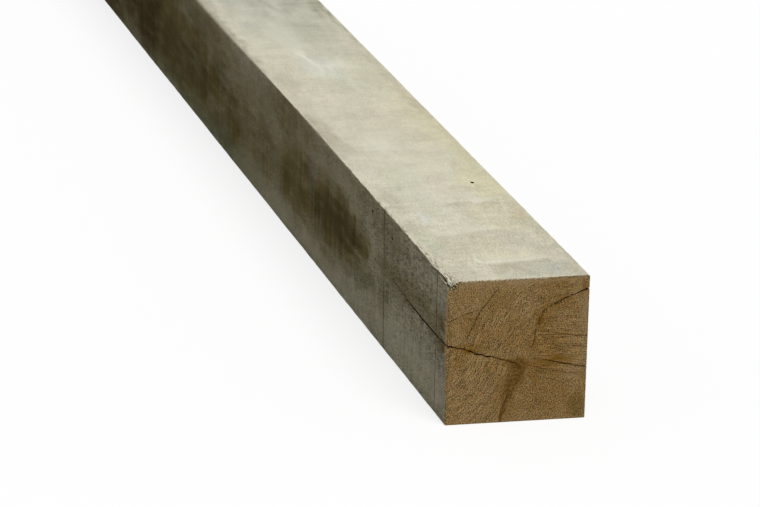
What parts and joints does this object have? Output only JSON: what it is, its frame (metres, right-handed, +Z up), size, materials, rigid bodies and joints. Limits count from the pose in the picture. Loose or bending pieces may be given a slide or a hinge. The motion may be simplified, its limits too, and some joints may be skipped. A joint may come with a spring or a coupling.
{
  "type": "oak beam",
  "caption": "Square sawn oak post or beam in one solid piece, weathered on its long faces, with drying checks open at its fresh-cut end and a torn, worn arris.",
  "frame": {"origin": "middle of the underside, at the beam's bounding-box bottom centre", "axes": "+X along the grain towards the split, fresh-cut end; +Z up out of the upper face; +Y across, away from the face with the main drying check"},
  "size_m": [2, 0.148, 0.152],
  "materials": {
    "weathered_oak": "rough sawn and weathered, with open grain, saw marks, dark stains and a fresh brown cut end"
  },
  "bodies": {
    "root": {"oak_beam": "weathered_oak"}
  },
  "joints": []
}
